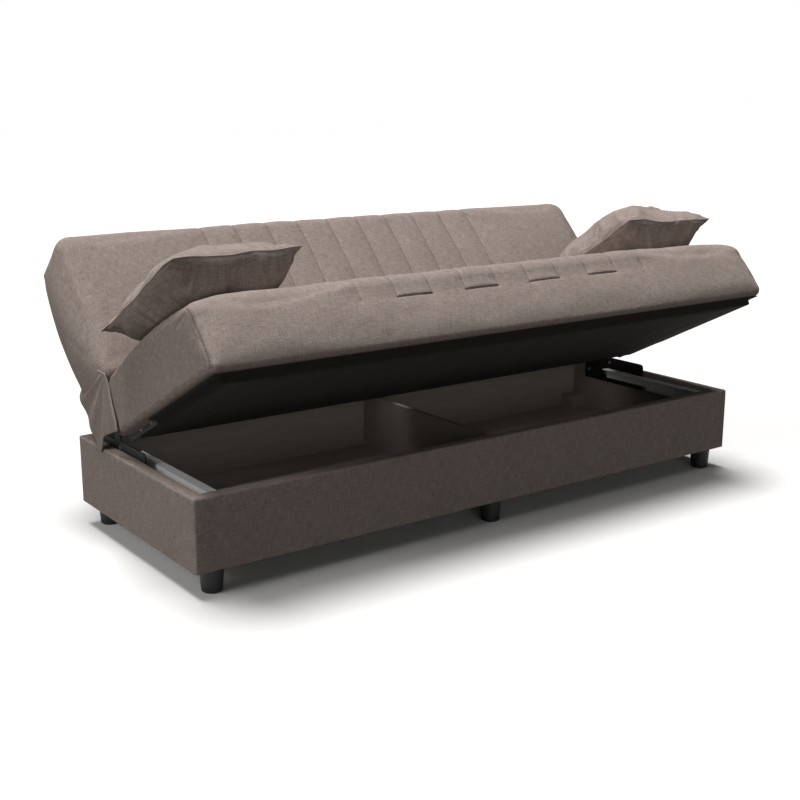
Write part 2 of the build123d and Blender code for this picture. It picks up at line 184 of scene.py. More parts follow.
def makeLinen():
    # flat woven polyester with a linen look: uneven threads both ways, and matt
    c = linenCloth
    material, tree = newMaterial("wovenLinenLookPolyester")
    place = addNode(tree, "ShaderNodeTexCoord").outputs["UV"]
    fine, long = 1 / (c["thread"] * mm), 1 / (c["slub"] * mm)
    threads = []
    for scale in ((fine, long, 1), (long, fine, 1)):
        stretch = addNode(tree, "ShaderNodeMapping", {"Scale": scale}, {"Vector": place})
        threads.append(addNode(tree, "ShaderNodeTexNoise", {"Scale": 1.0, "Detail": 2.0, "Roughness": 0.6},
                               {"Vector": stretch.outputs["Vector"]}).outputs["Fac"])
    weave = addNode(tree, "ShaderNodeMath", links={0: threads[0], 1: threads[1]}, operation="ADD")
    patch = addNode(tree, "ShaderNodeTexNoise", {"Scale": 1 / (c["patch"] * mm), "Detail": 3.0}, {"Vector": place})
    shade = addNode(tree, "ShaderNodeMath", {1: c["patchShare"]}, {0: patch.outputs["Fac"], 2: weave.outputs[0]},
                    operation="MULTIPLY_ADD")
    spread = addNode(tree, "ShaderNodeMapRange", {"From Min": c["shades"][0], "From Max": c["shades"][1]},
                     {"Value": shade.outputs[0]})
    ramp = addNode(tree, "ShaderNodeValToRGB", links={"Fac": spread.outputs["Result"]})
    ramp.color_ramp.elements[0].color = hexColour(c["dark"])
    ramp.color_ramp.elements[1].color = hexColour(c["light"])
    ramp.color_ramp.elements.new(0.5).color = hexColour(c["mid"])
    # painted shade in the seams, from each point's "sewn" share, mixed over the woven colour
    shadeLine = addNode(tree, "ShaderNodeAttribute", attribute_name="sewn")
    colour = addNode(tree, "ShaderNodeMix", data_type="RGBA")
    tree.links.new(shadeLine.outputs["Fac"], colour.inputs["Factor"])
    tree.links.new(ramp.outputs["Color"], colour.inputs[6])
    colour.inputs[7].default_value = hexColour(c["sewn"])
    bump = addNode(tree, "ShaderNodeBump", {"Strength": 0.6, "Distance": c["relief"] * mm},
                   {"Height": weave.outputs[0]})
    rough = addNode(tree, "ShaderNodeMapRange", {"To Min": c["rough"][0], "To Max": c["rough"][1]},
                    {"Value": threads[0]})
    closeMaterial(tree, colour.outputs[2], rough.outputs["Result"], bump, Specular_IOR_Level=0.1)
    return material


def makeGrained(name, dark, light, size, stretch, rough, relief, **sockets):
    # a finish whose marks run along x: size is the mark's width in mm, stretch how much longer it is
    material, tree = newMaterial(name)
    place = addNode(tree, "ShaderNodeTexCoord").outputs["Object"]
    across = 1 / (size * mm)
    scaled = addNode(tree, "ShaderNodeMapping", {"Scale": (across / stretch, across, across)}, {"Vector": place})
    marks = addNode(tree, "ShaderNodeTexNoise", {"Scale": 1.0, "Detail": 4.0, "Roughness": 0.6},
                    {"Vector": scaled.outputs["Vector"]})
    ramp = addNode(tree, "ShaderNodeValToRGB", links={"Fac": marks.outputs["Fac"]})
    ramp.color_ramp.elements[0].position = 0.3
    ramp.color_ramp.elements[1].position = 0.7
    ramp.color_ramp.elements[0].color = hexColour(dark)
    ramp.color_ramp.elements[1].color = hexColour(light)
    worn = addNode(tree, "ShaderNodeMapRange", {"To Min": rough[0], "To Max": rough[1]},
                   {"Value": marks.outputs["Fac"]})
    bump = addNode(tree, "ShaderNodeBump", {"Strength": 0.4, "Distance": relief * mm},
                   {"Height": marks.outputs["Fac"]})
    closeMaterial(tree, ramp.outputs["Color"], worn.outputs["Result"], bump, **sockets)
    return material


linen = makeLinen()
finishes = {
    "taupe_cloth": linen,
    # spunbonded lining: thin black fleece with short stretched fibres
    "black_lining": makeGrained("blackSpunbondLining", "2A2826", "343230", 5, 5, (0.9, 1.0), 0.3,
                                Specular_IOR_Level=0.1),
    # planed pine, pale, with the grain along the board
    "timber": makeGrained("planedPine", "D8CFBF", "E9E2D4", 4, 26, (0.55, 0.75), 0.2),
    # dark melamine on chipboard: nearly even, satin
    "dark_board": makeGrained("darkMelamineBoard", "8A827B", "989089", 9, 12, (0.5, 0.62), 0.05),
    # hot-dip galvanised strip, faintly spangled: zinc's pale grey pushed near white and hardly metallic, a painted
    # reflection in place of the zinc's bright sheen
    "galvanised_steel": makeGrained("galvanisedSteelPaintedBright", "DADCDA", "ECEEEC", 7, 2, (0.4, 0.55), 0.05, Metallic=0.15),
    # stoved black enamel on pressed steel
    "black_steel": makeGrained("blackEnamelledSteel", "101010", "1A1919", 3, 2, (0.5, 0.7), 0.1,
                               Specular_IOR_Level=0.3),
    # zinc-plated pins and screws
    "bright_steel": makeGrained("zincPlatedSteel", "A8A9AA", "D2D3D4", 2, 4, (0.22, 0.36), 0.03, Metallic=1.0),
    # moulded polypropylene feet with a fine grained skin
    "black_plastic": makeGrained("mouldedBlackPolypropylene", "0E0D0D", "161515", 1.5, 1, (0.45, 0.6), 0.1),
}
for part in frame["record"]["subparts"]:
    node = frame["nodes"][part["node"]]
    node.data.materials.clear()
    node.data.materials.append(finishes[part["material_slot"]])
print("materials made")


# cushions: one grid wrapped round each, with its ends drawn in to a closed panel

seams = {"count": 10, "pitch": 110 * mm, "dip": 3 * mm, "groove": 3 * mm, "width": 3 * mm,
         "offsets": [0, 1.3 * mm, 3.2 * mm, 7 * mm, 14 * mm, 28 * mm]}
seams["at"] = [(i - (seams["count"] - 1) / 2) * seams["pitch"] for i in range(seams["count"])]


def seamFar(x):
    return np.min([np.abs(x - at) for at in seams["at"]], axis=0)


def seamDepth(x):
    far = seamFar(x)
    puff = np.clip(1 - far / (seams["pitch"] / 2), 0, 1) ** 2
    return seams["dip"] * puff + seams["groove"] * np.exp(-(far / seams["width"]) ** 2)


def columnPlaces(half, endRound, step=14 * mm):
    # x of each column with how far its ring is drawn in, then the end panel's rings by their share
    xs = sorted({round(at + sign * off, 6) for at in seams["at"] for off in seams["offsets"] for sign in (-1, 1)}
                | {round(at + seams["pitch"] / 2, 6) for at in seams["at"][:-1]})
    outer = list(np.linspace(xs[-1] + step, half - endRound, int((half - endRound - xs[-1]) / step)))
    columns = [(x, 0, 1) for x in [-x for x in reversed(outer)] + xs + outer]
    ends = []
    for turn in np.linspace(0, 90, 8)[1:]:
        t = math.radians(turn)
        ends.append((half - endRound + endRound * math.sin(t), endRound * (1 - math.cos(t)), 1))
    ends += [(half, endRound, share) for share in (0.95, 0.86, 0.74, 0.6, 0.45, 0.3, 0.15, 0)]
    return [(-x, drawn, share) for x, drawn, share in reversed(ends)] + columns + ends


def stretchOf(start, end, count, bow=(0, 0), crowd=()):
    # crowd is more shares of the way, where rows stand close
    t = np.sort(np.concatenate([np.arange(count) / count, crowd]))
    swell = (4 * t * (1 - t))[:, None]
    return np.outer(1 - t, start) + np.outer(t, end) + swell * np.asarray(bow)


def roundOf(start, corner, end, count):
    # a quarter turn from start to end, about the point opposite the corner
    centre = np.asarray(start) + np.asarray(end) - np.asarray(corner)
    t = (np.arange(count) / count * math.pi / 2)[:, None]
    return centre + np.cos(t) * (np.asarray(start) - centre) + np.sin(t) * (np.asarray(end) - centre)


def wrapGrid(columns, ringAt):
    # ringAt gives the points round the cushion at one column
    rings = [ringAt(*column) for column in columns]
    rows = len(rings[0])
    deselectAll()
    bpy.ops.mesh.primitive_grid_add(x_subdivisions=len(columns) - 1, y_subdivisions=rows, size=1)
    piece = bpy.context.object
    places = np.zeros((rows + 1, len(columns), 3))
    for i, ((x, drawn, share), ring) in enumerate(zip(columns, rings)):
        places[:rows, i, 0] = x
        places[:rows, i, 1:] = ring
    places[rows] = places[0]
    return piece, places


def inwardOf(places):
    # from each point of the rings, one unit towards the inside of the cushion
    slope = np.stack([np.gradient(places[:-1, :, 1], axis=0), np.gradient(places[:-1, :, 2], axis=0)], -1)
    inward = np.stack([slope[..., 1], -slope[..., 0]], -1)
    inward /= np.maximum(np.linalg.norm(inward, axis=-1, keepdims=True), 1e-9)
    centre = places[:-1].mean(0)[None, :, 1:]
    return inward * np.sign(((centre - places[:-1, :, 1:]) * inward).sum(-1, keepdims=True) + 1e-12)


def closeGrid(piece, places, columns, tilt):
    # cloth measured along x and round the cushion, and across each end panel
    rows, count = places.shape[:2]
    setPoints(piece, toWorld(places.reshape(-1, 3), tilt))
    middle = places[:, count // 2, 1:]
    girth = np.concatenate([[0], np.cumsum(np.linalg.norm(np.diff(middle, axis=0), axis=1))])
    layer = piece.data.uv_layers.active.data
    for polygon in piece.data.polygons:
        corners = [(piece.data.loops[i].vertex_index, i) for i in polygon.loop_indices]
        panel = min(columns[v % count][2] for v, _ in corners) < 1
        for v, i in corners:
            row, column = divmod(v, count)
            across = places[row, column]
            layer[i].uv = (across[1], across[2]) if panel else (across[0], girth[row])
    sewUp(0.02 * mm)


def paintSeamShade(piece, share):
    # painted shade and dark thread in the bottom of a seam, read by the cloth
    layer = piece.data.attributes.new("sewn", "FLOAT", "POINT")
    layer.data.foreach_set("value", np.asarray(share, np.float32))


def swell(piece, held, pressure, frames, cap, slack=0):
    # the cover filled out by its stuffing: held points stay and no point moves further than cap,
    # and slack is by how much the cloth is cut larger than the shape that it starts from
    rest = getPoints(piece)
    group = piece.vertex_groups.new(name="held")
    group.add([int(i) for i in np.flatnonzero(held)], 1.0, "REPLACE")
    cloth = piece.modifiers.new("Cloth", "CLOTH")
    cloth.settings.vertex_group_mass = "held"
    cloth.settings.use_pressure = True
    cloth.settings.uniform_pressure_force = pressure
    cloth.settings.shrink_min = -slack
    cloth.settings.effector_weights.gravity = 0
    cloth.settings.quality = 4
    cloth.collision_settings.use_collision = False
    cloth.point_cache.frame_end = frames
    for number in range(1, frames + 1):
        bpy.context.scene.frame_set(number)
    deselectAll()
    bpy.context.view_layer.objects.active = piece
    bpy.ops.object.modifier_apply(modifier="Cloth")
    bpy.context.scene.frame_set(1)
    piece.vertex_groups.clear()
    moved = getPoints(piece) - rest
    far = np.linalg.norm(moved, axis=1, keepdims=True)
    setPoints(piece, rest + moved * cap * np.tanh(far / cap) / np.maximum(far, 1e-9))


def easeCloth(piece, where, times):
    # takes out hard creases: those of the mesh's own pattern in an end panel, or a seam's ridge
    group = piece.vertex_groups.new(name="eased")
    group.add([int(i) for i in np.flatnonzero(where)], 1.0, "REPLACE")
    ease = piece.modifiers.new("Smooth", "SMOOTH")
    ease.vertex_group = "eased"
    ease.factor = 0.5
    ease.iterations = times
    deselectAll()
    bpy.context.view_layer.objects.active = piece
    bpy.ops.object.modifier_apply(modifier="Smooth")
    piece.vertex_groups.clear()


seat = {
    "top": 35 * mm, "rise": 42 * mm, "shoulder": 180 * mm, "crown": 12 * mm, "bulge": 3 * mm, "lean": 28 * mm,
    "frontRound": 44 * mm, "rearRound": 46 * mm, "footRound": 20 * mm, "endRound": 22 * mm,
    "endTop": 0.6, "endRise": 0.35, "endBow": 0.7,      # shares: top drawn in, crown kept and top bowed at the ends
    "tuckBelow": 72 * mm, "tuckDeep": 3.5 * mm, "tuckTall": 2 * mm, "lip": mm, "dart": 1.5 * mm, "dartWide": 2.2 * mm,
    # seamShade and dartShade: how dark the painted shade in the seams and darts is
    "sewnSink": 0.55, "seamShade": 0.4, "dartShade": 0.9,
    "panelSwell": mm, "pressure": 3.0, "cap": 5 * mm, "frames": 14,
    "heldFoot": 12 * mm, "heldRear": 60 * mm, "sideGap": 0.5 * mm,
    "waves": ((0.16, 3.2 * mm), (0.05, 1.0 * mm)),      # size in metres and height of the uneven filling
}


def makeSeat():
    low, high = levelBox("seat_cushion", seatTilt)
    top, bottom, rear, front, half = seat["top"], low[2], high[1], low[1], high[0]
    columns = columnPlaces(half, seat["endRound"])
    tuckAt = top + seat["rise"] - seat["tuckBelow"]
    foot = bottom + seat["footRound"]
    tall = top + seat["rise"] - seat["frontRound"] - foot
    crowd = [(tuckAt + off * mm - foot) / tall for off in (-9, -5, -2.6, -1.1, 0.1, 1.3, 2.8, 5, 8, 12)]
    counts = {}

    def ringAt(x, drawn, share):
        # the crown stands highest along the front and falls away towards both ends
        over = max(0, abs(x) - half + seat["shoulder"]) / seat["shoulder"]
        t, r, f, b = top - seat["endTop"] * drawn, rear - drawn, front + drawn, bottom + drawn
        crown = t + seat["rise"] * (seat["endRise"] + (1 - seat["endRise"]) * math.sqrt(max(1 - over ** 2, 0)))
        faceLow, faceHigh = (f, b + seat["footRound"]), (f + seat["lean"], crown - seat["frontRound"])
        topFront, topRear = (f + seat["lean"] + seat["frontRound"], crown), (r - seat["rearRound"], t)
        rearTop = (r, t - seat["rearRound"])
        pieces = [
            stretchOf((r, b), (f + seat["footRound"], b), 34),
            roundOf((f + seat["footRound"], b), (f, b), faceLow, 6),
            stretchOf(faceLow, faceHigh, 14, (-seat["bulge"], 0), crowd),
            roundOf(faceHigh, (f + seat["lean"], crown), topFront, 14),
            stretchOf(topFront, topRear, 52, (0, seat["crown"] * (1 + seat["endBow"] * over))),
            roundOf(topRear, (r, t), rearTop, 8),
            stretchOf(rearTop, (r, b), 12),
        ]
        counts["parts"] = [len(p) for p in pieces]
        ring = np.concatenate(pieces)
        middle = (ring.max(0) + ring.min(0)) / 2
        return middle + share * (ring - middle)

    piece, places = wrapGrid(columns, ringAt)
    starts = np.cumsum([0] + counts["parts"])
    share = np.array([c[2] for c in columns])
    x = np.array([c[0] for c in columns])
    # how much of the sewing each row feels: all of it over the top, fading out below the tucks
    up = places[:-1, :, 2]
    inTop = np.zeros(starts[-1], bool)
    inTop[starts[3]:starts[6]] = True
    face = np.zeros(starts[-1], bool)
    face[starts[2]:starts[4]] = True
    fade = np.clip((up - (tuckAt - 6 * mm)) / (12 * mm), 0, 1)
    fade = np.where(inTop[:, None] | face[:, None], fade, 0) * (share == 1)[None]
    sink = seat["sewnSink"] * seamDepth(x)[None] * fade
    # each tuck draws the cloth in along a short line between two seams
    between = np.zeros(len(x))
    for a, b in zip(seams["at"][1::2], seams["at"][2::2]):
        between = np.maximum(between, np.clip(np.minimum(x - a, b - x) / (4 * mm) + 1, 0, 1))
    slit = np.exp(-((up - tuckAt) / seat["tuckTall"]) ** 2) * between[None] * face[:, None]
    lip = np.exp(-((up - tuckAt - 7 * mm) / (5 * mm)) ** 2) * between[None] * face[:, None]
    for at in (seams["at"][0], seams["at"][-1]):
        slit = slit + 0.6 * np.exp(-((x - at) / (5 * mm)) ** 2)[None] * face[:, None] * np.exp(
            -((up - tuckAt) / (6 * mm)) ** 2)
    places[:-1, :, 1:] += inwardOf(places) * (sink + seat["tuckDeep"] * slit - seat["lip"] * lip)[..., None]
    # the end panels swell a little, and the dart at each front corner is drawn in
    places[:-1, :, 0] += np.sign(x)[None] * seat["panelSwell"] * np.where(share < 1, 1 - share ** 2, 0)[None]
    cornerAt = half - 0.3 * seat["endRound"]
    corner = np.exp(-((np.abs(x) - cornerAt) / seat["dartWide"]) ** 2) * (share == 1)
    dart = corner[None] * face[:, None] * np.clip((up - bottom) / (30 * mm), 0, 1)
    places[:-1, :, 1] += seat["dart"] * dart
    places[:-1, :, 0] -= np.sign(x)[None] * seat["dart"] * dart
    places[-1] = places[0]
    closeGrid(piece, places, columns, seatTilt)
    level = toLevel(getPoints(piece), seatTilt)
    far = seamFar(level[:, 0])
    pair = np.zeros(len(level), bool)
    for a, b in zip(seams["at"][1::2], seams["at"][2::2]):
        pair |= (level[:, 0] > a - mm) & (level[:, 0] < b + mm)
    inFront = level[:, 1] < front + 60 * mm
    held = ((far < 3 * mm) & (level[:, 2] > tuckAt - 4 * mm)) | (level[:, 2] < bottom + seat["heldFoot"])
    held |= level[:, 1] > rear - seat["heldRear"]
    cornerLine = np.exp(-((np.abs(level[:, 0]) - cornerAt) / seat["dartWide"]) ** 2)
    cornerLine = cornerLine * inFront * (level[:, 2] > bottom + 14 * mm)
    held |= cornerLine > 0.5
    held |= (np.abs(level[:, 2] - tuckAt) < 3 * mm) & pair & inFront
    # painted shade: a dark line in the seams over the top and in the tuck slits, darker still along the front-corner
    # darts
    over = np.clip((level[:, 2] - tuckAt + 3 * mm) / (3 * mm), 0, 1) * (level[:, 1] < rear - 30 * mm)
    shadeLine = np.exp(-(far / (1.6 * mm)) ** 2) * over
    shadeLine = np.maximum(shadeLine, 0.7 * np.exp(-((level[:, 2] - tuckAt) / (1.8 * mm)) ** 2) * pair * inFront)
    paintSeamShade(piece, np.maximum(seat["seamShade"] * shadeLine, seat["dartShade"] * cornerLine))
    ends = np.abs(level[:, 0]) > half + 0.3 * mm
    swell(piece, held, seat["pressure"], seat["frames"], seat["cap"])
    easeCloth(piece, ends, 40)
    level = toLevel(getPoints(piece), seatTilt)
    free = np.clip((level[:, 2] - bottom) / (40 * mm), 0, 1)
    free *= np.clip((rear - level[:, 1] - 40 * mm) / (60 * mm), 0, 1)
    push = bumpy(level * (1, 1, 1.6), *seat["waves"][0], 1) + bumpy(level * (1, 2, 2), *seat["waves"][1], 2)
    points = pushOut(piece, push * free)
    # the end flaps hang close beside the ends
    points[:, 0] = np.clip(points[:, 0], seat["sideGap"] - half, half - seat["sideGap"])
    setPoints(piece, points)
    finishPiece(piece, "seatPad", "seat", "taupe_cloth", linen, "seat_cushion")
    return piece


back = {
    "crown": 9 * mm, "lean": 8 * mm, "lowRound": 46 * mm, "crestRound": 40 * mm, "endRound": 26 * mm,
    "corner": 58 * mm, "coverBulge": 22 * mm, "panelSwell": 24 * mm, "endPuff": 5 * mm,
    # seamShade: how dark the painted shade in the seams is
    "endBehind": 0.45, "sewnSink": 0.75, "seamShade": 0.45,     # shares: rear drawn in at the ends, seams
    "pressure": 3.0, "cap": 5 * mm, "frames": 14, "heldFoot": 70 * mm, "heldRear": 6 * mm,
    "waves": ((0.2, 2.6 * mm), (0.07, 0.8 * mm)),
}


def makeBack():
    low, high = levelBox("back_cushion", backTilt)
    coverLow = levelBox("back_cover", backTilt)[0]
    top, rear, bottom = high[2] - back["crown"], low[2], low[1]
    crest, half = high[1], high[0]
    columns = columnPlaces(half, back["endRound"])
    counts = {}

    def ringAt(x, drawn, share):
        over = max(0, abs(x) - half + back["corner"])
        dropped = back["corner"] - math.sqrt(max(back["corner"] ** 2 - over ** 2, 0))
        plain = np.clip((abs(x) - seams["at"][-1]) / (half - seams["at"][-1]), 0, 1)
        puff = back["endPuff"] * math.sin(math.pi * plain ** 0.7)
        t, c, b = top - drawn + puff, crest - max(dropped, drawn), bottom
        behind = back["endBehind"] * drawn
        backFace = coverLow[2] + back["coverBulge"] + behind
        lowFront, frontLow = (b, t - back["lowRound"]), (b + back["lowRound"], t)
        frontCrest, crestFront = (c - back["crestRound"], t), (c, t - back["crestRound"])
        pieces = [
            stretchOf((b, rear + behind), lowFront, 12),
            roundOf(lowFront, (b, t), frontLow, 8),
            stretchOf(frontLow, frontCrest, 44, (0, back["crown"])),
            roundOf(frontCrest, (c, t), crestFront, 12),
            stretchOf(crestFront, (c - back["lean"], backFace), 14),
            stretchOf((c - back["lean"], backFace), (coverLow[1], backFace), 30, (0, -back["coverBulge"])),
            stretchOf((coverLow[1], backFace), (coverLow[1], rear + behind), 3),
            stretchOf((coverLow[1], rear + behind), (b, rear + behind), 6),
        ]
        counts["parts"] = [len(p) for p in pieces]
        ring = np.concatenate(pieces)
        middle = (ring.max(0) + ring.min(0)) / 2
        return middle + share * (ring - middle)

    piece, places = wrapGrid(columns, ringAt)
    starts = np.cumsum([0] + counts["parts"])
    share = np.array([c[2] for c in columns])
    x = np.array([c[0] for c in columns])
    sewn = np.zeros(starts[-1])
    sewn[starts[1]:starts[4]] = 1
    sink = back["sewnSink"] * seamDepth(x)[None] * sewn[:, None] * (share == 1)[None]
    places[:-1, :, 1:] += inwardOf(places) * sink[..., None]
    places[:-1, :, 0] += np.sign(x)[None] * back["panelSwell"] * np.where(share < 1, 1 - share ** 2, 0)[None]
    places[-1] = places[0]
    closeGrid(piece, places, columns, backTilt)
    level = toLevel(getPoints(piece), backTilt)
    far = seamFar(level[:, 0])
    held = ((far < 3 * mm) & (level[:, 2] > -40 * mm)) | (level[:, 1] < bottom + back["heldFoot"])
    held |= level[:, 2] < rear + back["heldRear"]
    # painted shade in the seams of the front
    paintSeamShade(piece, back["seamShade"] * np.exp(-(far / (1.6 * mm)) ** 2) * (level[:, 2] > -60 * mm))
    ends = np.abs(level[:, 0]) > half - 6 * mm
    swell(piece, held, back["pressure"], back["frames"], back["cap"])
    easeCloth(piece, ends, 40)
    level = toLevel(getPoints(piece), backTilt)
    free = np.clip((level[:, 1] - bottom - 40 * mm) / (90 * mm), 0, 1)
    free *= np.clip((level[:, 2] - rear) / (30 * mm), 0, 1)
    push = bumpy(level, *back["waves"][0], 3) + bumpy(level * (2, 1, 1), *back["waves"][1], 4)
    setPoints(piece, pushOut(piece, push * free))
    finishPiece(piece, "backPad", "backrest", "taupe_cloth", linen, "back_cushion", "back_cover")


seatPad = makeSeat()
print("seat made")
makeBack()
print("backrest made")


# throw pillows: two squares of cloth sewn round the edge and filled

pillow = {
    "half": 193 * mm, "draw": 2 * mm, "welt": 2 * mm, "thin": 0.8 * mm, "under": 98 * mm, "underSharp": 0.6,
    "uneven": 0.16, "pleat": 4 * mm, "reach": 45 * mm, "wave": 9 * mm, "rim": 22 * mm, "eased": 7,
    "pressure": 2.5, "frames": 18, "cap": 12 * mm, "slack": 0.05, "rest": 0.8 * mm, "soft": 10 * mm,
    # at: x, along and up on the level seat, in mm; turn: pitch, roll and yaw in degrees;
    # over and sharp: the upper half's height and how square it is; seeds: of its bumps, pleats and seam
    "left": {"at": (-782, -362, 151), "turn": (-6.5, -3.4, 7.7), "over": 60 * mm, "sharp": 0.62,
             "seeds": (11, 31, 61)},
    "right": {"at": (755, -336, 150), "turn": (-6.5, 0.8, 4), "over": 100 * mm, "sharp": 0.52,
              "seeds": (23, 47, 83)},
}


def settle(piece):
    # flat where the pillow rests on the seat
    tree = BVHTree.FromPolygons([v.co for v in seatPad.data.vertices], [p.vertices for p in seatPad.data.polygons])
    upward = Vector((0, -math.sin(seatTilt), math.cos(seatTilt)))
    points, soft = getPoints(piece), pillow["soft"]
    for i, point in enumerate(points):
        start = Vector(point) + upward * 0.3
        hit = tree.ray_cast(start, -upward, 0.6)[0]
        if hit is None:
            continue
        above = (Vector(point) - hit).dot(upward)
        if above < soft:
            rest = pillow["rest"] + (soft - pillow["rest"]) * math.exp((above - soft) / soft)
            points[i] = hit + upward * rest
    setPoints(piece, points)


def makePillow(side):
    own, half = pillow[side], pillow["half"]
    shares = list(np.linspace(0, 0.9, 30)) + [0.92, 0.938, 0.954, 0.967, 0.978, 0.987, 0.994, 1]
    shares += [1 + t * pillow["welt"] / half for t in (0.4, 0.8, 1)]
    axis = np.array([-t for t in reversed(shares[1:])] + shares)
    deselectAll()
    bpy.ops.mesh.primitive_grid_add(x_subdivisions=len(axis) - 1, y_subdivisions=len(axis) - 1, size=1)
    piece = bpy.context.object
    u, v = [g.ravel() for g in np.meshgrid(axis, axis)]
    full = np.clip(1 - np.abs(u) ** 2.4, 0, None) * np.clip(1 - np.abs(v) ** 2.4, 0, None)
    edge = np.maximum(np.abs(u), np.abs(v)) < axis[-1] - 1e-6
    points = np.stack([u * (half - pillow["draw"] * np.clip(1 - v ** 2, 0, 1)),
                       v * (half - pillow["draw"] * np.clip(1 - u ** 2, 0, 1)),
                       pillow["thin"] * edge + own["over"] * full ** own["sharp"]], 1)
    uneven = 1 + bumpy(points, 0.08, pillow["uneven"], own["seeds"][0])
    points[:, 2] *= uneven
    # small pleats run in from the seam, where the thread gathers the cloth
    inside = np.clip(1 - np.maximum(np.abs(u), np.abs(v)), 0, 1) * half
    onSide = np.abs(u) > np.abs(v)
    run = np.where(onSide, v, u) * half
    which = np.where(onSide, np.sign(u), 3 * np.sign(v))
    pleats = bumpy(np.stack([run, inside * 0.25, which], 1), 0.016, pillow["pleat"], own["seeds"][1])
    pleats *= (1 - np.exp(-inside / (9 * mm))) * np.exp(-inside / pillow["reach"])
    points[:, 2] += pleats
    under = points * (1, 1, 0)
    under[:, 2] = -(pillow["thin"] * edge + pillow["under"] * full ** pillow["underSharp"]) * uneven + pleats
    # the seam wanders a little, in and out and up and down
    flat = np.stack([u * half, v * half, np.zeros(len(u))], 1)
    wander = np.stack([bumpy(flat, 0.09, pillow["wave"], own["seeds"][2] + i) for i in range(3)], 1)
    points, under = points + wander, under + wander
    setPoints(piece, points)
    layer = piece.data.uv_layers.active.data
    for loop in piece.data.loops:
        layer[loop.index].uv = points[loop.vertex_index, :2] + half
    bpy.ops.object.mode_set(mode="EDIT")
    bpy.ops.mesh.select_all(action="SELECT")
    bpy.ops.mesh.duplicate()
    bpy.ops.object.mode_set(mode="OBJECT")
    setPoints(piece, np.concatenate([points, under]))
    sewUp(0.05 * mm)
    held = np.max(np.abs(getPoints(piece)[:, :2]), axis=1) > half - 4 * mm
    swell(piece, held, pillow["pressure"], pillow["frames"], pillow["cap"], pillow["slack"])
    # the rim is eased between the corners
    away = np.sort(np.abs(getPoints(piece)[:, :2]), axis=1)
    easeCloth(piece, (away[:, 1] > half - pillow["rim"]) & (away[:, 0] < half - 2 * pillow["rim"]), pillow["eased"])
    pitch, roll, yaw = [math.radians(a) for a in own["turn"]]
    turn = (Matrix.Rotation(seatTilt, 3, "X") @ Matrix.Rotation(yaw, 3, "Z") @ Matrix.Rotation(pitch, 3, "X")
            @ Matrix.Rotation(roll, 3, "Y"))
    middle = toWorld([np.array(own["at"]) * mm], seatTilt)
    setPoints(piece, getPoints(piece) @ np.array(turn).T + middle)
    settle(piece)
    finishPiece(piece, f"throwPillow{side.capitalize()}", f"pillow_{side}", "taupe_cloth", linen, f"pillow_{side}")


for side in ("left", "right"):
    makePillow(side)
print("pillows made")


# the base's cloth: stretched round the four boards and over their top edge

baseCloth = {"round": 6 * mm, "rim": 32 * mm, "thick": 2 * mm, "cells": 22 * mm, "wave": (0.12, 1.6 * mm)}


def makeBaseCloth():
    low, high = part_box("base_cover")
    deselectAll()
    bpy.ops.mesh.primitive_cube_add(size=1, location=(low + high) / 2, scale=high - low)
    piece = bpy.context.object
    bpy.ops.object.transform_apply(location=True, rotation=True, scale=True)
    bpy.ops.object.mode_set(mode="EDIT")
    bpy.ops.mesh.select_all(action="DESELECT")
    bpy.ops.object.mode_set(mode="OBJECT")
    for face in piece.data.polygons:
        face.select = face.normal.z > 0.5
    bpy.ops.object.mode_set(mode="EDIT")
    bpy.ops.mesh.select_mode(type="FACE")
    bpy.ops.mesh.inset(thickness=baseCloth["rim"])
    bpy.ops.mesh.delete(type="FACE")
    bpy.ops.object.mode_set(mode="OBJECT")
    for face in piece.data.polygons:
        face.select = face.normal.z < -0.5
    bpy.ops.object.mode_set(mode="EDIT")
    bpy.ops.mesh.delete(type="FACE")
    bpy.ops.object.mode_set(mode="OBJECT")
    for edge in piece.data.edges:
        a, b = [piece.data.vertices[v].co for v in edge.vertices]
        upright = abs(a.z - b.z) > 0.1
        topEdge = a.z > high.z - 0.001 and b.z > high.z - 0.001 and all(
            abs(p.x) > high.x - 0.001 or p.y < low.y + 0.001 or p.y > high.y - 0.001 for p in (a, b))
        edge.select = upright or topEdge
    bpy.ops.object.mode_set(mode="EDIT")
    bpy.ops.mesh.select_mode(type="EDGE")
    bpy.ops.mesh.bevel(offset=baseCloth["round"], segments=4)
    for axis, span in ((0, (low.x, high.x)), (1, (low.y, high.y)), (2, (low.z, high.z))):
        normal = [0, 0, 0]
        normal[axis] = 1
        for at in np.arange(span[0] + baseCloth["cells"], span[1] - baseCloth["cells"] / 2, baseCloth["cells"]):
            point = [0, 0, 0]
            point[axis] = at
            bpy.ops.mesh.select_all(action="SELECT")
            bpy.ops.mesh.bisect(plane_co=point, plane_no=normal)
    bpy.ops.mesh.select_all(action="SELECT")
    bpy.ops.uv.cube_project(cube_size=1.0)
    bpy.ops.object.mode_set(mode="OBJECT")
    points = getPoints(piece)
    inside = np.minimum(np.minimum(points[:, 0] - low.x, high.x - points[:, 0]),
                        np.minimum(points[:, 1] - low.y, high.y - points[:, 1]))
    side = np.clip(1 - inside / (4 * mm), 0, 1)
    ends = np.clip((points[:, 2] - low.z) / (25 * mm), 0, 1) * np.clip((high.z - points[:, 2]) / (25 * mm), 0, 1)
    setPoints(piece, pushOut(piece, bumpy(points * (1, 1, 0.5), *baseCloth["wave"], 5) * side * ends))
    thicken = piece.modifiers.new("Solidify", "SOLIDIFY")
    thicken.thickness = baseCloth["thick"]
    thicken.offset = -1
    bpy.ops.object.modifier_apply(modifier="Solidify")
    bpy.ops.object.shade_smooth_by_angle(angle=math.radians(50))
    finishPiece(piece, "baseCloth", "base", "taupe_cloth", linen, "base_cover")


makeBaseCloth()
print("base cloth made")


# end flaps: loose cloth from the backrest's ends, hanging over the hinges; each level is its height and how
# far the cloth goes to the front and to the rear, in mm from the hinge

